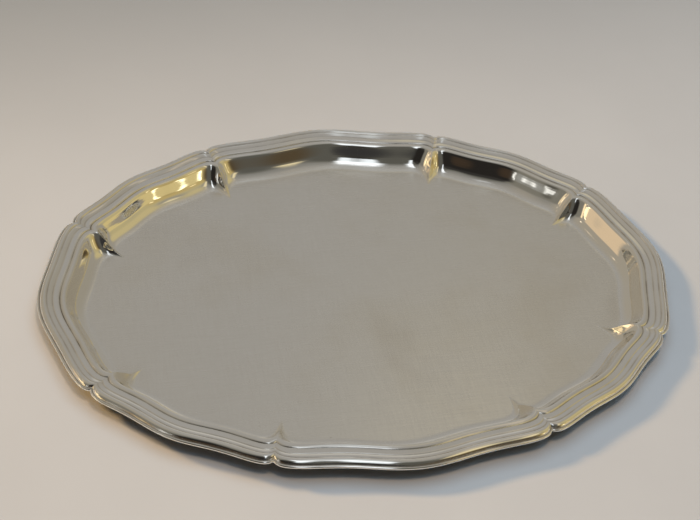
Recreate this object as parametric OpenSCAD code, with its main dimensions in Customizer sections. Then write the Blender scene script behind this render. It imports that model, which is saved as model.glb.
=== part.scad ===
// Footless oval serving tray in silver: a flat well, a steep scooped wall and a moulded border.
// The outline has eight brace-shaped panels that meet at eight notches. Under each notch the wall
// folds into a sharp ridge that runs down and out over the well as a pointed dart.
// Lengths are in millimetres. +X runs along the tray, +Y to the back, and the base stands on z = 0.

/* [Size] */
// Length of the tray over the outer roll
tray_length = 360; // [320:1:400]
// Width of the tray over the outer roll
tray_width = 269; // [240:0.5:300]
// Height of the crown of the outer roll above the table
tray_height = 14.5; // [12:0.25:18]

/* [Scalloped outline] */
// Direction of the notch beside each end panel, in degrees of the oval
end_notch_angle = 28.1; // [26:0.1:31]
// Direction of the notch beside the front and back panels, in degrees of the oval
side_notch_angle = 65.6; // [62:0.1:68]
// How far the flanks of the front and back panels dip inward
long_panel_dip = 2.8; // [0:0.1:4]
// How far the flanks of the four diagonal panels dip inward
diagonal_panel_dip = 1.85; // [0:0.05:3]
// How far the flanks of the end panels dip inward
end_panel_dip = 2.5; // [0:0.1:4]
// How far the diagonal panels' tips stay inside the plain oval
diagonal_tip_inset = 1.1; // [0:0.1:3]
// How far the end panels' tips stay inside the plain oval
end_tip_inset = 1.55; // [0:0.05:3]

/* [Notches and ridges] */
// Depth of the notches in the border
notch_depth = 2.8; // [1.5:0.1:3.6]
// Width over which a notch opens out
notch_flare = 2.7; // [2:0.1:4]
// Scale of the ridges that run down the wall under the notches
ridge_scale = 1; // [0.6:0.05:1.2]

/* [Detail] */
// Number of steps along each half panel
steps = 10; // [6:1:12]

/* [Hidden] */

// The border's width, from the seam line between body and border to the outer roll
border_width = 12;
// Half length and half width of the seam oval, from which every offset is measured
seam_a = tray_length / 2 + end_tip_inset - border_width;
seam_b = tray_width / 2 - border_width;
// Heights in the profiles are for a tray 14.5 high
rise = tray_height / 14.5;

// The eight panels, counter-clockwise from the right-hand end
diagonal_angle = (end_notch_angle + side_notch_angle) / 2;
centre = [
    0, diagonal_angle, 90, 180 - diagonal_angle, 180, 180 + diagonal_angle, 270, 360 - diagonal_angle
];
diagonal_span = (side_notch_angle - end_notch_angle) / 2;
half_span = [
    for (panel = [0:7])
        panel % 2 == 1 ? diagonal_span : panel % 4 == 0 ? end_notch_angle : 90 - side_notch_angle
];
dip = [for (panel = [0:7]) panel % 2 == 1 ? diagonal_panel_dip
    : panel % 4 == 0 ? end_panel_dip : long_panel_dip];
tip_inset = [for (panel = [0:7]) panel % 2 == 1 ? diagonal_tip_inset
    : panel % 4 == 0 ? end_tip_inset : 0];

// Body profile, from the edge of the base out under the wall and the flange, around the edge bead,
// in along the flange to the seam, over the lip and down the wall to the edge of the well.
// Each row is [offset outward from the seam, height, depth of the ridge, flare of the ridge].
edge = [notch_depth, notch_flare];
body_rows = [
    [-14.9, 0, 11.4 * ridge_scale, 3],
    [-13.2, 0.2, 10.9 * ridge_scale, 3],
    [-11.5, 0.65, 10.4 * ridge_scale, 3.1],
    [-9.7, 1.5, 9.8 * ridge_scale, 3.2],
    [-8.15, 2.6, 9.4 * ridge_scale, 3.3],
    [-6.9, 3.85, 9.2 * ridge_scale, 3.3],
    [-5.95, 5.2, 8.9 * ridge_scale, 3.3],
    [-5.1, 6.8, 8.2 * ridge_scale, 3.2],
    [-4.4, 8.1, 7.3 * ridge_scale, 3.1],
    [-3.6, 8.75, 6.3 * ridge_scale, 3],
    [10.7, 10.75, edge[0], edge[1]],
    [11.5, 10.95, edge[0], edge[1]],
    [12, 11.5, edge[0], edge[1]],
    [12, 12.05, edge[0], edge[1]],
    [11.6, 12.5, edge[0], edge[1]],
    [11.1, 12.6, edge[0], edge[1]],
    [0, 10.6, edge[0], edge[1]],
    [0, 12.45, edge[0], edge[1]],
    [-0.5, 12.85, edge[0] + 0.1, edge[1]],
    [-1.5, 13.05, 3.3 * ridge_scale, 2.8],
    [-2.5, 12.98, 4 * ridge_scale, 2.9],
    [-3.2, 12.55, 4.7 * ridge_scale, 2.9],
    [-3.75, 11.75, 5.3 * ridge_scale, 3],
    [-4.4, 10.5, 6.2 * ridge_scale, 3.1],
    [-5.2, 8.86, 7.3 * ridge_scale, 3.2],
    [-6, 7.22, 8.3 * ridge_scale, 3.3],
    [-6.8, 5.7, 9 * ridge_scale, 3.4],
    [-7.7, 4.4, 9.3 * ridge_scale, 3.4],
    [-8.8, 3.3, 9.5 * ridge_scale, 3.4],
    [-10.2, 2.32, 9.9 * ridge_scale, 3.3],
    [-11.9, 1.55, 10.7 * ridge_scale, 3.1],
    [-13.6, 1.12, 11.3 * ridge_scale, 3],
    [-15.2, 1, 11.6 * ridge_scale, 2.9]
];

// Border profile as [offset, height]: up from the seam, over the band and the bold outer roll
border_rows = [
    [0, 10.6],
    [0, 12.45],
    [0.45, 12.85],
    [1.3, 13.05],
    [2.6, 13.2],
    [3.5, 13.25],
    [3.9, 13.1],
    [4.4, 13.3],
    [5.6, 13.75],
    [6.4, 13.95],
    [6.8, 13.9],
    [7.3, 14.25],
    [8.3, 14.5],
    [9.1, 14.35],
    [9.7, 13.95],
    [10.2, 13.4],
    [10.6, 12.9],
    [11.1, 12.6]
];

silver = [0.80, 0.79, 0.76];
bright_silver = [0.86, 0.85, 0.82];

// Place along a panel, -1 and 1 at its notches and 0 at its tip, with the steps closer near a notch
function along(step) =
    let (share = abs(step) / steps)
    sign(step) * (1 - pow(1 - share, 1.8));

// Inward dip of the brace shape: none at the tip and the shoulders, full on both flanks
function brace(panel, place) =
    dip[panel] * pow(sin(180 * place), 2) + tip_inset[panel] * (1 - place * place);

// A point of one profile row, at a place along one panel
function border_point(panel, place, row) =
    let (
        angle = centre[panel] + place * half_span[panel],
        pace = norm([seam_a * sin(angle), seam_b * cos(angle)]) * PI / 180,
        from_notch = (1 - abs(place)) * half_span[panel] * pace,
        outward = [cos(angle) / seam_a, sin(angle) / seam_b],
        offset = row[0] - brace(panel, place) - row[2] * exp(-from_notch / row[3]),
        foot = [seam_a * cos(angle), seam_b * sin(angle)],
        spot = foot + offset * outward / norm(outward)
    )
    [spot[0], spot[1], row[1] * rise];

// One closed ring of the body, at one profile row, around all eight panels
function body_ring(row) = [
    for (panel = [0:7], step = [-steps:steps - 1]) border_point(panel, along(step), row)
];

// Joins closed rings that have the same number of points, and caps the first and the last
module loft(rings) {
    count = len(rings[0]);
    points = [for (ring = rings) each ring];
    sides = [
        for (k = [0:len(rings) - 2], i = [0:count - 1])
            let (a = k * count + i, b = k * count + (i + 1) % count)
            each [[a, a + count, b], [b, a + count, b + count]]
    ];
    first_cap = [for (i = [0:count - 1]) i];
    last_cap = [for (i = [0:count - 1]) len(points) - 1 - i];
    polyhedron(points = points, faces = concat(sides, [first_cap], [last_cap]), convexity = 8);
}

// A length of border moulding over one panel, cut square to the oval at both notches
module border_section(panel) {
    loft([
        for (step = [-steps:steps])
            [for (row = border_rows) border_point(panel, along(step), concat(row, edge))]
    ]);
}

// The raised sheet: well, wall, lip and the flange under the border
module body() {
    color(silver) loft([for (row = body_rows) body_ring(row)]);
}

module border_right() {
    color(bright_silver) border_section(0);
}

module border_back_right() {
    color(bright_silver) border_section(1);
}

module border_back() {
    color(bright_silver) border_section(2);
}

module border_back_left() {
    color(bright_silver) border_section(3);
}

module border_left() {
    color(bright_silver) border_section(4);
}

module border_front_left() {
    color(bright_silver) border_section(5);
}

module border_front() {
    color(bright_silver) border_section(6);
}

module border_front_right() {
    color(bright_silver) border_section(7);
}

body();
border_right();
border_back_right();
border_back();
border_back_left();
border_left();
border_front_left();
border_front();
border_front_right();
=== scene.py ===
"""Looks for the oval silver tray: a smooth body and eight border sections over the CAD frame."""

import math

import bpy
import numpy as np
from mathutils import Matrix, Vector


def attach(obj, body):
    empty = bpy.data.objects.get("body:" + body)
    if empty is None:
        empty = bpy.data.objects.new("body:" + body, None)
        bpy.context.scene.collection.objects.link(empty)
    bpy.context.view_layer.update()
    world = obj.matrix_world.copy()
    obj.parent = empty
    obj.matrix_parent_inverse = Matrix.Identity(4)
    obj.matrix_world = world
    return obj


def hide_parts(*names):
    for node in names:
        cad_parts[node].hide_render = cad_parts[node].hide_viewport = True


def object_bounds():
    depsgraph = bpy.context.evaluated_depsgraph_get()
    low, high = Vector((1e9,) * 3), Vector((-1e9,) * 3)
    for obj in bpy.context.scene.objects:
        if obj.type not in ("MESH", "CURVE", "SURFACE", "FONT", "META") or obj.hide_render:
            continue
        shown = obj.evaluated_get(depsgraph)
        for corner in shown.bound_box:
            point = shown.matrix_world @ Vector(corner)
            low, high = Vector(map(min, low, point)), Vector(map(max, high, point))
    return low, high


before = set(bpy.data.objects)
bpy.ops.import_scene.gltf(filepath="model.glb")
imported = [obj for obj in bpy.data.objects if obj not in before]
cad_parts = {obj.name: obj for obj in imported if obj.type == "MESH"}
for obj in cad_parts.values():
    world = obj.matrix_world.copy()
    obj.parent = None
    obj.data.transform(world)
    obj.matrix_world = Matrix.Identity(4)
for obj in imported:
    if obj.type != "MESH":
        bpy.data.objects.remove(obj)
cad_low, cad_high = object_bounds()

MM = 0.001

LOOK_AT = Vector((-0.0011, 0.0268, 1.0 * MM))
CAMERA_DISTANCE = 0.7892
CAMERA_ELEVATION, CAMERA_AZIMUTH, CAMERA_ROLL = 43.34, 17.57, 7.72
LENS, SENSOR_WIDTH = 69.67, 36  # both in mm
CLIP_START, CLIP_END = 0.05, 50

# ---------------------------------------------------------------- outline of the tray

BORDER_WIDTH = 12 * MM
END_TIP_INSET = 1.55 * MM
DIAGONAL_TIP_INSET = 1.1 * MM
LONG_DIP, DIAGONAL_DIP, END_DIP = 2.8 * MM, 1.85 * MM, 2.5 * MM
END_NOTCH, SIDE_NOTCH = 28.1, 65.6
NOTCH_DEPTH, NOTCH_FLARE = 2.8, 2.7

SEAM_A = (cad_high[0] - cad_low[0]) / 2 + END_TIP_INSET - BORDER_WIDTH
SEAM_B = (cad_high[1] - cad_low[1]) / 2 - BORDER_WIDTH

DIAGONAL = (END_NOTCH + SIDE_NOTCH) / 2
CENTRES = [0, DIAGONAL, 90, 180 - DIAGONAL, 180, 180 + DIAGONAL, 270, 360 - DIAGONAL]
DIAGONAL_SPAN = (SIDE_NOTCH - END_NOTCH) / 2
SPANS = [END_NOTCH, DIAGONAL_SPAN, 90 - SIDE_NOTCH, DIAGONAL_SPAN] * 2
DIPS = [END_DIP, DIAGONAL_DIP, LONG_DIP, DIAGONAL_DIP] * 2
INSETS = [END_TIP_INSET, DIAGONAL_TIP_INSET, 0, DIAGONAL_TIP_INSET] * 2
SECTIONS = [
    "border_right",
    "border_back_right",
    "border_back",
    "border_back_left",
    "border_left",
    "border_front_left",
    "border_front",
    "border_front_right",
]
CREST_ROUND = 0.22 * MM  # how far the ridge crests and notch corners are worn round
NOTCH_CROWDING = 2.6  # how strongly the points of an outline crowd toward the notches

# Profiles in mm: offset outward from the seam, height, ridge depth, ridge flare. Rows of two
# numbers have the depth and flare of the notches.
UNDERSIDE = [
    [-14.9, 0, 11.4, 3],
    [-13.2, 0.2, 10.9, 3],
    [-11.5, 0.65, 10.4, 3.1],
    [-9.7, 1.5, 9.8, 3.2],
    [-8.15, 2.6, 9.4, 3.3],
    [-6.9, 3.85, 9.2, 3.3],
    [-5.95, 5.2, 8.9, 3.3],
    [-5.1, 6.8, 8.2, 3.2],
    [-4.4, 8.1, 7.3, 3.1],
    [-3.6, 8.75, 6.3, 3],
]
FLANGE_UNDER = [[-3.6, 8.75, 6.3, 3], [10.7, 10.75, NOTCH_DEPTH, NOTCH_FLARE]]
BEAD = [
    [10.7, 10.75],
    [11.5, 10.95],
    [12, 11.5],
    [12, 12.05],
    [11.75, 12.45],
    [11.35, 12.66],
    [11, 12.6],
    [10.8, 12.35],
]
FLANGE_TOP = [[10.8, 12.35], [0, 10.6]]
SEAM_STEP = [[0, 10.6], [0, 12.45]]
WALL = [
    [0, 12.45, 2.8, 2.7],
    [-0.5, 12.85, 2.9, 2.7],
    [-1.5, 13.05, 3.3, 2.8],
    [-2.5, 12.98, 4, 2.9],
    [-3.2, 12.55, 4.7, 2.9],
    [-3.75, 11.75, 5.3, 3],
    [-4.4, 10.5, 6.2, 3.1],
    [-5.2, 8.86, 7.3, 3.2],
    [-6, 7.22, 8.3, 3.3],
    [-6.8, 5.7, 9, 3.4],
    [-7.7, 4.4, 9.3, 3.4],
    [-8.8, 3.3, 9.5, 3.4],
    [-10.2, 2.32, 9.9, 3.3],
    [-11.9, 1.55, 10.7, 3.1],
    [-13.6, 1.12, 11.3, 3],
    [-15.2, 1, 11.6, 2.9],
]
BORDER_BAND = [
    [0, 12.45],
    [0.45, 12.85],
    [1.3, 13.05],
    [2.6, 13.2],
    [3.5, 13.25],
    [3.9, 13.1],
]
BORDER_FILLET = [[3.9, 13.1], [4.4, 13.3], [5.6, 13.75], [6.4, 13.95], [6.8, 13.88]]
BORDER_ROLL = [
    [6.8, 13.88],
    [7.4, 14.25],
    [8.3, 14.5],
    [9.1, 14.35],
    [9.7, 13.95],
    [10.2, 13.35],
    [10.55, 12.75],
    [10.8, 12.35],
]


def smooth_rows(rows, pieces):
    """A smooth curve through profile rows, with the given number of steps between each two."""
    rows = np.array([r if len(r) == 4 else [*r, NOTCH_DEPTH, NOTCH_FLARE] for r in rows], float)
    if len(rows) == 2:
        t = np.linspace(0, 1, pieces + 1)[:, None]
        return rows[0] * (1 - t) + rows[1] * t
    gaps = np.linalg.norm(np.diff(rows[:, :2], axis=0), axis=1)
    knots = np.concatenate([[0], np.cumsum(gaps)])
    slopes = np.diff(rows, axis=0) / gaps[:, None]
    tangents = np.empty_like(rows)
    blend = (gaps[:-1] / (gaps[:-1] + gaps[1:]))[:, None]
    tangents[1:-1] = slopes[:-1] * (1 - blend) + slopes[1:] * blend
    tangents[0] = 1.5 * slopes[0] - 0.5 * tangents[1]
    tangents[-1] = 1.5 * slopes[-1] - 0.5 * tangents[-2]
    out = []
    for k in range(len(rows) - 1):
        t = np.linspace(0, 1, pieces, endpoint=False)[:, None]
        h00, h10 = 2 * t**3 - 3 * t**2 + 1, t**3 - 2 * t**2 + t
        h01, h11 = -2 * t**3 + 3 * t**2, t**3 - t**2
        out.append(
            h00 * rows[k]
            + h10 * gaps[k] * tangents[k]
            + h01 * rows[k + 1]
            + h11 * gaps[k] * tangents[k + 1]
        )
    out.append(rows[-1:])
    return np.concatenate(out)


def places(steps):
    """Places along a panel, -1 and 1 at its notches, closest together beside the notches."""
    step = np.arange(-steps, steps + 1)
    return np.sign(step) * (1 - (1 - np.abs(step) / steps) ** NOTCH_CROWDING)


def seam_oval(panel, place):
    """Points of the seam oval along one panel, their outward normals and their distance from a notch."""
    angle = np.radians(CENTRES[panel] + place * SPANS[panel])
    pace = np.hypot(SEAM_A * np.sin(angle), SEAM_B * np.cos(angle))
    gap = (1 - np.abs(place)) * math.radians(SPANS[panel]) * pace
    normal = np.stack([np.cos(angle) / SEAM_A, np.sin(angle) / SEAM_B], -1)
    normal /= np.linalg.norm(normal, axis=-1)[:, None]
    foot = np.stack([SEAM_A * np.cos(angle), SEAM_B * np.sin(angle)], -1)
    return foot, normal, gap


def outline(panel, place, row):
    """Points of one profile row along one panel, in metres."""
    offset, height, depth, flare = row
    foot, normal, gap = seam_oval(panel, place)
    gap = np.sqrt(gap**2 + CREST_ROUND**2) - CREST_ROUND
    brace = DIPS[panel] * np.sin(np.pi * place) ** 2 + INSETS[panel] * (1 - place**2)
    reach = offset * MM - brace - depth * MM * np.exp(-gap / (flare * MM))
    spot = foot + normal * reach[:, None]
    return np.concatenate([spot, np.full((len(spot), 1), height * MM)], 1)


def ring(row, steps):
    """One closed ring of points around all eight panels."""
    along = places(steps)[:-1]
    return np.concatenate([outline(panel, along, row) for panel in range(8)])


def ring_faces(rings, count):
    """Quads that join each ring of points to the next."""
    faces = []
    for k in range(rings - 1):
        for i in range(count):
            a, b = k * count + i, k * count + (i + 1) % count
            faces.append((a, b, b + count, a + count))
    return faces


def make_mesh(name, points, faces, attributes=None):
    """A new mesh object from points and faces, shaded smooth, with per-point float attributes."""
    mesh = bpy.data.meshes.new(name)
    mesh.from_pydata([tuple(p) for p in points], [], faces)
    mesh.update()
    mesh.shade_smooth()
    for key, values in (attributes or {}).items():
        layer = mesh.attributes.new(key, "FLOAT", "POINT")
        layer.data.foreach_set("value", np.asarray(values, np.float32))
    thing = bpy.data.objects.new(name, mesh)
    bpy.context.scene.collection.objects.link(thing)
    return thing


def chain(parts):
    """Joins profile stretches end to end. Also gives the row numbers where two stretches meet."""
    rows, corners = [parts[0]], [0]
    for part in parts[1:]:
        corners.append(sum(len(r) for r in rows) - 1)
        rows.append(part[1:])
    return np.concatenate(rows), corners


# ---------------------------------------------------------------- body


# Lines of the moulding, where dirt and shadow sit: offset in mm, depth, width in mm
GROOVES = [(0, 1.0, 0.4), (3.9, 0.6, 0.3), (6.8, 0.7, 0.35), (10.75, 0.8, 0.35)]
GROOVES_ABOVE = 11.6  # mm; lower down the profile has no lines
BODY_STEPS = 36
DISC_RINGS = 7
DISC_CROWDING = 1.3  # how strongly the disc's rings crowd toward its edge
# Beyond the end of a profile the darts fade out: offset in mm, share of the ridge depth, flare
DART_FADE = [(-16.4, 0.955, 3.0), (-18, 0.85, 3.2), (-21, 0.64, 3.6), (-25, 0.36, 4.2), (-31, 0, 5)]


def disc_rings(edge):
    """Rings that shrink from an edge ring towards the centre, without the centre point."""
    out = []
    for k in range(1, DISC_RINGS):
        share = 1 - (k / DISC_RINGS) ** DISC_CROWDING
        out.append(edge * [share, share, 1])
    return out


def fade_rings(row):
    """Rings that carry a profile's end row inward along the oval, while its darts fade out."""
    return [ring([reach, row[1], share * row[2], flare], BODY_STEPS) for reach, share, flare in DART_FADE]


def make_body():
    """The raised sheet: base, outside of the wall, flange, bead, seam, lip, wall and well."""
    parts = [
        smooth_rows(UNDERSIDE, 2),
        smooth_rows(FLANGE_UNDER, 3),
        smooth_rows(BEAD, 4),
        smooth_rows(FLANGE_TOP, 2),
        smooth_rows(SEAM_STEP, 2),
        smooth_rows(WALL, 6),
    ]
    rows, corners = chain(parts)
    rings = [ring(row, BODY_STEPS) for row in rows]
    base, well = fade_rings(rows[0]), fade_rings(rows[-1])
    base = disc_rings(base[-1])[::-1] + base[::-1]
    well = well + disc_rings(well[-1])
    stack = base + rings + well
    count = len(rings[0])
    points = np.concatenate(stack + [[[0, 0, 0]], [[0, 0, rows[-1][1] * MM]]])
    faces = ring_faces(len(stack), count)
    low, high = len(points) - 2, len(points) - 1
    last = (len(stack) - 1) * count
    for i in range(count):
        j = (i + 1) % count
        faces.append((low, j, i))
        faces.append((high, last + i, last + j))
    recess = np.zeros(len(points))
    start = len(base) * count
    seam = np.array([groove(r) for r in rows])
    recess[start : start + len(rows) * count] = np.repeat(seam, count)
    body = make_mesh("Tray_body", points, faces, {"recess": recess})
    sharp_rings(body.data, [len(base) + c for c in corners[1:]], count)
    return body


def groove(row):
    """How deep a profile point lies in one of the moulding's lines, 0 to 1."""
    if row[1] < GROOVES_ABOVE:
        return 0.0
    return max(depth * math.exp(-abs(row[0] - place) / width) for place, depth, width in GROOVES)


def sharp_rings(mesh, ring_numbers, count):
    """Marks the edges that run along the given rings as sharp."""
    wanted = set(ring_numbers)
    for edge in mesh.edges:
        a, b = edge.vertices
        ra, rb = a // count, b // count
        if ra == rb and ra in wanted:
            edge.use_edge_sharp = True


# ---------------------------------------------------------------- border sections


SECTION_STEPS = 40
MITRE_ROUND = 0.3 * MM  # the moulding falls away this far from each mitre
MITRE_DEPTH = 0.06  # mm
MITRE_DIRT = 0.3
MOULDING_HEART = np.array([5.5, 11.6])  # offset and height in mm, where the mitres sink toward


def make_section(panel):
    """One length of border moulding, sunk a little at its two mitres."""
    stretches = [
        smooth_rows(SEAM_STEP, 2),
        smooth_rows(BORDER_BAND, 6),
        smooth_rows(BORDER_FILLET, 5),
        smooth_rows(BORDER_ROLL, 6),
        smooth_rows(FLANGE_TOP, 2),
    ]
    rows, corners = chain(stretches)
    rows = rows[:-1]
    place = places(SECTION_STEPS)
    _, normal, gap = seam_oval(panel, place)
    sink = MITRE_DEPTH * np.exp(-gap / MITRE_ROUND)
    stations = []
    for number, row in enumerate(rows):
        pull = MOULDING_HEART - row[:2]
        pull = pull / max(1e-6, np.linalg.norm(pull))
        if number < corners[1] or number >= corners[-1]:
            pull = np.zeros(2)
        line = outline(panel, place, row)
        line[:, :2] += normal * (sink * pull[0] * MM)[:, None]
        line[:, 2] += sink * pull[1] * MM
        stations.append(line)
    grid = np.stack(stations, 1)
    count, length = len(rows), len(place)
    points = grid.reshape(-1, 3)
    faces = ring_faces(length, count)
    faces.append(tuple(range(count - 1, -1, -1)))
    faces.append(tuple(range(len(points) - count, len(points))))
    lines = np.array([groove(row) for row in rows])
    mitre = MITRE_DIRT * np.exp(-gap / MITRE_ROUND)
    recess = np.maximum(lines[None, :], mitre[:, None]).ravel()
    section = make_mesh("Tray_" + SECTIONS[panel], points, faces, {"recess": recess})
    wanted = set(corners)
    for edge in section.data.edges:
        a, b = edge.vertices
        if a // count == b // count:
            if a // count in (0, length - 1):
                edge.use_edge_sharp = True
        elif a % count == b % count and a % count in wanted:
            edge.use_edge_sharp = True
    return section


body = make_body()
sections = [make_section(panel) for panel in range(8)]

# ---------------------------------------------------------------- materials


class Nodes:
    """Small helper for building a node tree."""

    def __init__(self, tree):
        self.tree = tree
        tree.nodes.clear()

    def add(self, kind, inputs=None, **settings):
        node = self.tree.nodes.new(kind)
        for key, value in settings.items():
            setattr(node, key, value)
        for key, value in (inputs or {}).items():
            self.put(node.inputs[key], value)
        return node

    def put(self, socket, value):
        if isinstance(value, bpy.types.NodeSocket):
            self.tree.links.new(value, socket)
        else:
            socket.default_value = value

    def math(self, operation, a, b=0.0, c=0.0, clamp=False):
        node = self.add("ShaderNodeMath", operation=operation, use_clamp=clamp)
        for socket, value in zip(node.inputs, (a, b, c)):
            self.put(socket, value)
        return node.outputs[0]

    def remap(self, value, low, high, out_low=0.0, out_high=1.0):
        node = self.add("ShaderNodeMapRange", interpolation_type="SMOOTHSTEP")
        for key, item in zip(
            ("Value", "From Min", "From Max", "To Min", "To Max"),
            (value, low, high, out_low, out_high),
        ):
            self.put(node.inputs[key], item)
        return node.outputs["Result"]

    def mix(self, factor, a, b):
        node = self.add("ShaderNodeMix", data_type="RGBA")
        self.put(node.inputs["Factor"], factor)
        self.put(node.inputs["A"], a)
        self.put(node.inputs["B"], b)
        return node.outputs["Result"]

    def noise(self, vector, scale, detail=2.0, rough=0.5):
        node = self.add("ShaderNodeTexNoise")
        self.put(node.inputs["Vector"], vector)
        node.inputs["Scale"].default_value = scale
        node.inputs["Detail"].default_value = detail
        node.inputs["Roughness"].default_value = rough
        return node.outputs["Fac"]

    def turned(self, vector, degrees, stretch):
        node = self.add("ShaderNodeMapping", vector_type="POINT")
        self.put(node.inputs["Vector"], vector)
        node.inputs["Rotation"].default_value = (0, 0, math.radians(degrees))
        node.inputs["Scale"].default_value = stretch
        return node.outputs["Vector"]

    def bump(self, height, strength, distance, normal=None):
        node = self.add("ShaderNodeBump", {"Height": height, "Strength": strength, "Distance": distance})
        if normal is not None:
            self.put(node.inputs["Normal"], normal)
        return node.outputs["Normal"]

    def output(self, kind, surface):
        self.add(kind, {"Surface": surface})


SILVER = (0.91, 0.885, 0.835, 1)
SILVER_WARM = (0.80, 0.74, 0.62, 1)
TARNISH = (0.17, 0.13, 0.09, 1)
STAIN = (0.42, 0.33, 0.22, 1)


# Up to WELL_TOP the silver is flat and satin, from WALL_START on it is polished. Stains, pits and
# rubbed strokes end at FLAT_END.
WELL_TOP, FLAT_END, WALL_START = 1.05 * MM, 1.2 * MM, 3.0 * MM
# Noise scales, per metre
CLOUD_SCALE, MOTTLE_SCALE, GRAIN_SCALE = 9.0, 60.0, 900.0
WARM_SCALE, PATCH_SCALE, PIT_SCALE = 14.0, 70.0, 24.0
WAVE_SCALE, RIPPLE_SCALE = 28.0, 85.0
# Strokes of polishing at right angles to each other: their turn in degrees and, once turned, the
# noise scales along x, y and z
STROKE_TURN = -17.57
BRUSH_STRETCH, RUB_STRETCH = (35.0, 1500.0, 1.0), (1100.0, 50.0, 1.0)
# Scratches: turn in degrees and noise scale along them
SCRATCHES = ((12, 14.0), (-38, 18.0), (71, 20.0), (128, 16.0))
SCRATCH_ACROSS = 1400.0
# How much each pattern adds to the roughness
CLOUD_ROUGH, SCRATCH_ROUGH, STROKE_ROUGH, MOTTLE_ROUGH, DIRT_ROUGH = 0.10, 0.07, 0.24, 0.05, 0.25


def polish_strokes(n, place):
    """Fine strokes in two directions, 0 to 1."""
    brush = n.noise(n.turned(place, STROKE_TURN, BRUSH_STRETCH), 1.0, 4.0, 0.75)
    rub = n.noise(n.turned(place, STROKE_TURN, RUB_STRETCH), 1.0, 4.0, 0.75)
    return n.math("MULTIPLY", n.math("ADD", brush, rub), 0.5)


def fine_scratches(n, place):
    """Thin scratches in four directions, 0 to 1."""
    scratches = None
    for degrees, length in SCRATCHES:
        lines = n.noise(n.turned(place, degrees, (length, SCRATCH_ACROSS, 1.0)), 1.0, 3.0, 0.7)
        lines = n.remap(lines, 0.55, 0.78)
        scratches = lines if scratches is None else n.math("MAXIMUM", scratches, lines)
    return scratches


def silver_roughness(n, satin, polish, wall, recess, cloud, mottle, strokes, scratches):
    """Satin on the well, polished on the wall and the mouldings, dull in the moulding's lines."""
    rough = n.math("MULTIPLY_ADD", cloud, CLOUD_ROUGH, satin - CLOUD_ROUGH / 2)
    rough = n.math("ADD", rough, n.math("MULTIPLY", scratches, SCRATCH_ROUGH))
    rough = n.math("ADD", rough, n.math("MULTIPLY_ADD", strokes, STROKE_ROUGH, -STROKE_ROUGH / 2))
    bright = n.math("MULTIPLY_ADD", mottle, MOTTLE_ROUGH, polish - MOTTLE_ROUGH / 2)
    mixed = n.add("ShaderNodeMix", data_type="FLOAT")
    n.put(mixed.inputs["Factor"], wall)
    n.put(mixed.inputs["A"], rough)
    n.put(mixed.inputs["B"], bright)
    dull = n.math("MULTIPLY", recess, DIRT_ROUGH)
    return n.math("ADD", mixed.outputs["Result"], dull, clamp=True)


def silver_colour(n, place, height, recess, cloud, mottle, strokes):
    """Warm patches, and on the well rubbed strokes, stains and pits. Dirt and painted shade lie in the
    lines.
    """
    warm = n.remap(n.noise(place, WARM_SCALE, 3.0, 0.6), 0.45, 0.75, 0.0, 0.35)
    colour = n.mix(warm, SILVER, SILVER_WARM)
    flat = n.remap(height, FLAT_END, WELL_TOP)
    rubbed = n.math("MULTIPLY", flat, n.remap(strokes, 0.38, 0.62, 0.0, 0.07))
    colour = n.mix(rubbed, colour, TARNISH)
    stain = n.math("MULTIPLY", flat, n.remap(cloud, 0.60, 0.72, 0.0, 0.14))
    colour = n.mix(stain, colour, STAIN)
    cells = n.add("ShaderNodeTexVoronoi", {"Vector": place, "Scale": PIT_SCALE, "Randomness": 1.0})
    pit = n.math("MULTIPLY", flat, n.remap(cells.outputs["Distance"], 0.016, 0.006, 0.0, 0.75))
    colour = n.mix(pit, colour, TARNISH)
    patchy = n.noise(place, PATCH_SCALE, 2.0, 0.6)
    # Painted shade and tarnish: the moulding's lines are mixed toward the dark tarnish colour
    tarnish_and_shade = n.math("MULTIPLY", recess, n.remap(mottle, 0.3, 0.65, 0.25, 0.75))
    tarnish_and_shade = n.math("MULTIPLY", tarnish_and_shade, n.remap(patchy, 0.35, 0.6, 0.45, 1.0))
    return n.mix(tarnish_and_shade, colour, TARNISH)


def silver_normal(n, place, wall, scratches):
    """Scratches and grain, over long waves everywhere and ripples that are stronger on the wall."""
    grain = n.noise(place, GRAIN_SCALE, 2.0, 0.5)
    height = n.math("MULTIPLY_ADD", scratches, -0.4, n.math("MULTIPLY", grain, 0.25))
    fine = n.bump(height, 0.12, 0.02 * MM)
    wave = n.bump(n.noise(place, WAVE_SCALE, 1.0, 0.4), 0.5, 0.12 * MM, fine)
    strength = n.math("MULTIPLY_ADD", wall, 0.75, 0.05)
    return n.bump(n.noise(place, RIPPLE_SCALE, 1.0, 0.4), strength, 0.06 * MM, wave)


def silver_material(name, satin, polish):
    """Silver with fine scratches. It is satin on flat low faces and polished on the mouldings."""
    material = bpy.data.materials.new(name)
    material.use_nodes = True
    n = Nodes(material.node_tree)
    place = n.add("ShaderNodeTexCoord").outputs["Object"]
    height = n.add("ShaderNodeSeparateXYZ", {"Vector": place}).outputs["Z"]
    # recess marks the moulding's lines, where the silver gets painted shade and tarnish
    recess = n.add("ShaderNodeAttribute", attribute_name="recess").outputs["Fac"]
    wall = n.remap(height, WELL_TOP, WALL_START)
    cloud = n.noise(place, CLOUD_SCALE, 3.0, 0.55)
    mottle = n.noise(place, MOTTLE_SCALE, 4.0, 0.6)
    strokes = polish_strokes(n, place)
    scratches = fine_scratches(n, place)
    rough = silver_roughness(n, satin, polish, wall, recess, cloud, mottle, strokes, scratches)
    shader = n.add("ShaderNodeBsdfPrincipled")
    n.put(shader.inputs["Base Color"], silver_colour(n, place, height, recess, cloud, mottle, strokes))
    n.put(shader.inputs["Roughness"], rough)
    n.put(shader.inputs["Normal"], silver_normal(n, place, wall, scratches))
    shader.inputs["Metallic"].default_value = 1.0
    n.output("ShaderNodeOutputMaterial", shader.outputs["BSDF"])
    return material


sheet_silver = silver_material("Silver_sheet", 0.23, 0.06)
border_silver = silver_material("Silver_border", 0.16, 0.08)

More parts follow.
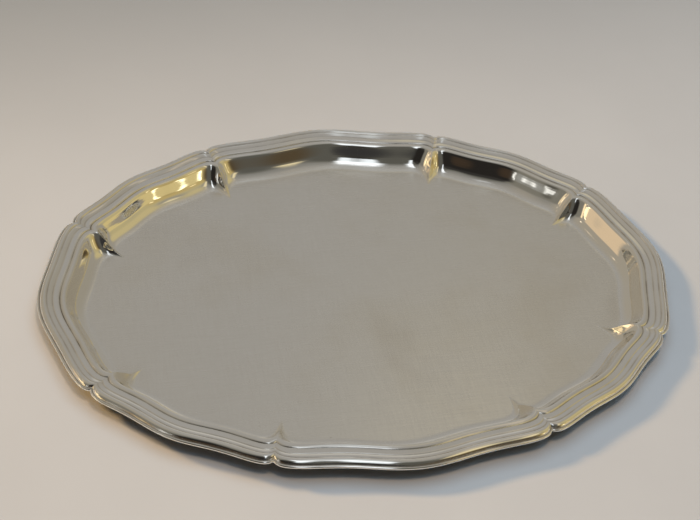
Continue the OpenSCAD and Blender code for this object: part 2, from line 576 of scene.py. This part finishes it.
body.data.materials.append(sheet_silver)
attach(body, "root")
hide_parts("body")
for piece, node in zip(sections, SECTIONS):
    piece.data.materials.append(border_silver)
    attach(piece, "root")
    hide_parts(node)

# ---------------------------------------------------------------- camera

camera = bpy.data.objects.new("Camera", bpy.data.cameras.new("Camera"))
bpy.context.scene.collection.objects.link(camera)
camera.data.lens = LENS
camera.data.sensor_width = SENSOR_WIDTH
e, a = math.radians(CAMERA_ELEVATION), math.radians(CAMERA_AZIMUTH)
ahead = Vector((math.cos(e) * math.sin(a), math.cos(e) * math.cos(a), -math.sin(e)))
camera.location = LOOK_AT - ahead * CAMERA_DISTANCE
aim = ahead.to_track_quat("-Z", "Y").to_matrix().to_4x4()
camera.matrix_world = (
    Matrix.Translation(camera.location) @ aim @ Matrix.Rotation(math.radians(CAMERA_ROLL), 4, "Z")
)
camera.data.clip_start = CLIP_START
camera.data.clip_end = CLIP_END
bpy.context.scene.camera = camera

# ---------------------------------------------------------------- table

TABLE_SIDES = 96
TABLE_RADII = [0.3, 0.7, 1.5, 3.0, 6.0]
TABLE_GAP = 0.02 * MM
CLOTH_DARK, CLOTH_LIGHT = (0.176, 0.176, 0.181, 1), (0.184, 0.184, 0.189, 1)
# Colour of the painted shade at the back of the cloth
CLOTH_FAR_SHADE = (0.074, 0.080, 0.087, 1)
# Painted shade: the cloth darkens toward the back, where the light falls off, along this azimuth and over
# this stretch in metres
FADE_AZIMUTH, FADE_START, FADE_END = -8, 0.06, 0.50


def cloth_material():
    """Pale cloth with a fine weave, with painted shade that darkens it toward the back."""
    material = bpy.data.materials.new("Pale_cloth")
    material.use_nodes = True
    n = Nodes(material.node_tree)
    place = n.add("ShaderNodeTexCoord").outputs["Object"]
    shade = n.noise(place, 6.0, 4.0, 0.6)
    colour = n.mix(n.remap(shade, 0.3, 0.7), CLOTH_DARK, CLOTH_LIGHT)
    split = n.add("ShaderNodeSeparateXYZ", {"Vector": n.turned(place, FADE_AZIMUTH, (1, 1, 1))})
    # Painted shade toward the back of the cloth
    colour = n.mix(n.remap(split.outputs["Y"], FADE_START, FADE_END), colour, CLOTH_FAR_SHADE)
    shader = n.add("ShaderNodeBsdfPrincipled")
    n.put(shader.inputs["Base Color"], colour)
    n.put(shader.inputs["Normal"], n.bump(n.noise(place, 900.0, 3.0, 0.6), 0.15, 0.1 * MM))
    shader.inputs["Roughness"].default_value = 0.75
    shader.inputs["Specular IOR Level"].default_value = 0.25
    n.output("ShaderNodeOutputMaterial", shader.outputs["BSDF"])
    return material


def make_table():
    """A large pale disc just under the tray."""
    count = TABLE_SIDES
    points, faces = [(0.0, 0.0, 0.0)], []
    for r in TABLE_RADII:
        for i in range(count):
            t = 2 * math.pi * i / count
            points.append((r * math.cos(t), r * math.sin(t), 0.0))
    for i in range(count):
        j = (i + 1) % count
        faces.append((0, 1 + i, 1 + j))
        for k in range(len(TABLE_RADII) - 1):
            a0, b0 = 1 + k * count + i, 1 + k * count + j
            faces.append((a0, a0 + count, b0 + count, b0))
    table = make_mesh("Table_top", points, faces)
    table.location.z = cad_low[2] - TABLE_GAP
    table.data.materials.append(cloth_material())


make_table()

# ---------------------------------------------------------------- light

TRAY_CENTRE = Vector((0, 0, 0))


def area_light(name, where, size, power, colour):
    """A round lamp aimed at the tray. The silver doesn't mirror it: it mirrors the room instead."""
    data = bpy.data.lights.new(name, "AREA")
    data.shape = "DISK"
    data.size = size
    data.energy = power
    data.color = colour
    lamp = bpy.data.objects.new(name, data)
    bpy.context.scene.collection.objects.link(lamp)
    lamp.location = where
    lamp.rotation_euler = (TRAY_CENTRE - Vector(where)).to_track_quat("-Z", "Y").to_euler()
    lamp.visible_glossy = False


def direction(azimuth, elevation):
    """A unit vector. Azimuth 0 is +Y (behind the tray) and 90 is +X."""
    a, e = math.radians(azimuth), math.radians(elevation)
    return Vector((math.cos(e) * math.sin(a), math.cos(e) * math.cos(a), math.sin(e)))


SIDE_FROM, SIDE_DISTANCE = direction(298, 34), 3.0
TOP_FROM, TOP_DISTANCE = direction(190, 69), 1.1
SKY_HEIGHT = 2.5

# Sizes are in metres and powers in watts
area_light("Side_lamp", SIDE_FROM * SIDE_DISTANCE, 0.45, 194, (1.0, 0.638, 0.256))
area_light("Top_lamp", TOP_FROM * TOP_DISTANCE, 0.12, 9.1, (1.0, 0.70, 0.425))
area_light("Sky", (0, 0, SKY_HEIGHT), 3.0, 134, (0.555, 0.80, 1.0))

# The room's plain colour at table height and overhead
ROOM_LOW, ROOM_HIGH = (0.33, 0.30, 0.25, 1), (0.24, 0.235, 0.215, 1)

# The room is invented. Its patches and bars are where the silver needs something to mirror, so that
# it shows the tones of the photograph.
# Round patches of the room: azimuth, elevation, inner and outer angle, colour
ROOM_AREAS = [
    (10, 40, 25, 75, (0.354, 0.344, 0.328)),  # wall behind the tray
    (75, 25, 15, 55, (0.33, 0.305, 0.255)),  # wall on the right
    (300, 30, 20, 60, (0.36, 0.325, 0.265)),  # warm wall on the left
    (112, 22, 8, 26, (0.48, 0.41, 0.22)),  # gold wall, right of the camera
    (88, 44, 8, 24, (0.54, 0.455, 0.24)),  # gold wall, higher up on the right
    (132, 11, 9, 24, (0.50, 0.385, 0.16)),  # gold wall, low beside the camera
    (155, 6, 10, 26, (0.085, 0.062, 0.035)),  # dim patch, right of the camera
    (185, 32, 22, 42, (0.10, 0.098, 0.085)),  # dim room behind the camera
    (240, 25, 10, 30, (0.20, 0.19, 0.16)),  # grey wall, left of the camera
    (207, 22, 14, 26, (0.020, 0.018, 0.016)),  # darkest patches, left of the camera
    (208, 42, 6, 14, (0.035, 0.033, 0.03)),
    (186, 4, 6, 16, (0.035, 0.034, 0.034)),
    (218, 6, 5, 14, (0.05, 0.034, 0.022)),
    (236, 6, 3, 10, (0.33, 0.33, 0.31)),  # pale wall, left of the camera
    (250, 5, 3, 9, (0.22, 0.15, 0.07)),  # brown patch, low on the left
    (26, 50, 0.5, 5, (0.56, 0.51, 0.39)),  # warm spot that the well shows as a soft sheen
    (16, 3, 4, 14, (0.52, 0.50, 0.46)),  # pale patch, low behind the tray
]

# Bright bars: azimuth and elevation of both ends, half width, blur, colour
ROOM_BARS = [
    ((184.5, 30), (179, 62), 2.6, 1.6, (1.0, 1.08, 1.16)),  # tall window behind the camera
    ((179, 60), (170, 80), 4.0, 2.2, (1.25, 1.32, 1.4)),  # skylight overhead
    ((172, 76), (22, 58), 1.1, 1.0, (0.62, 0.65, 0.67)),  # pale bar across the top
    ((30, 50), (86, 67), 1.0, 0.9, (0.58, 0.51, 0.41)),  # pelmet lit from the left
    ((86, 67), (125, 52), 1.1, 0.9, (0.62, 0.54, 0.42)),
    ((122, 53), (143, 33), 4.2, 2.6, (0.80, 0.69, 0.43)),  # gold bar on the right
    ((280, 0), (286, 22), 5.5, 2.5, (0.70, 0.54, 0.36)),  # door frame on the left
    ((104, 2), (130, 4), 6.0, 3.0, (0.64, 0.52, 0.24)),  # lit yellow wall
    ((126, 6), (129, 10), 1.5, 1.2, (2.2, 2.0, 1.25)),  # lamps
    ((118, 12), (121, 15), 1.0, 1.0, (1.5, 1.25, 0.7)),
    ((235, 4), (239, 10), 1.2, 1.2, (1.6, 1.6, 1.55)),
    ((228, 12), (230, 13), 0.8, 0.8, (1.2, 1.2, 1.15)),
    ((254, 3), (272, 8), 3.6, 2.2, (1.9, 1.5, 0.85)),
    ((262, 9), (267, 24), 2.6, 2.4, (1.35, 1.05, 0.62)),
    ((275, 14), (277, 15), 1.4, 1.2, (2.4, 2.0, 1.3)),
    ((285, 46), (286, 48), 1.5, 1.2, (1.6, 1.35, 1.0)),
    ((314, 50), (315, 51), 1.5, 1.2, (1.3, 1.05, 0.75)),
]


def make_world():
    """A room around the table: dim walls in several tones, with soft patches and bars of light."""
    world = bpy.data.worlds.new("Room")
    bpy.context.scene.world = world
    world.use_nodes = True
    n = Nodes(world.node_tree)
    look = n.add("ShaderNodeTexCoord").outputs["Generated"]

    def toward(vector):
        dot = n.add("ShaderNodeVectorMath", operation="DOT_PRODUCT")
        n.put(dot.inputs[0], look)
        dot.inputs[1].default_value = vector
        return dot.outputs["Value"]

    def cosine(degrees):
        return math.cos(math.radians(degrees))

    up = n.add("ShaderNodeSeparateXYZ", {"Vector": look}).outputs["Z"]
    colour = n.mix(n.remap(up, -0.1, 0.9), ROOM_LOW, ROOM_HIGH)
    for azimuth, elevation, inner, outer, tone in ROOM_AREAS:
        share = n.remap(toward(direction(azimuth, elevation)), cosine(outer), cosine(inner))
        colour = n.mix(share, colour, (*tone, 1))
    for one_end, other_end, wide, blur, tone in ROOM_BARS:
        first, last = direction(*one_end), direction(*other_end)
        long = math.degrees(first.angle(last)) / 2
        along = n.remap(
            toward((first + last).normalized()), cosine(long + wide + blur), cosine(long + wide - blur)
        )
        aside = n.math("ABSOLUTE", toward(first.cross(last).normalized()))
        far, near = (math.sin(math.radians(max(v, 0))) for v in (wide + blur, wide - blur))
        across = n.remap(aside, far, near)
        colour = n.mix(n.math("MULTIPLY", along, across), colour, (*tone, 1))
    back = n.add("ShaderNodeBackground", {"Color": colour, "Strength": 1.0})
    n.output("ShaderNodeOutputWorld", back.outputs["Background"])


make_world()

bpy.context.scene.view_settings.view_transform = "Standard"
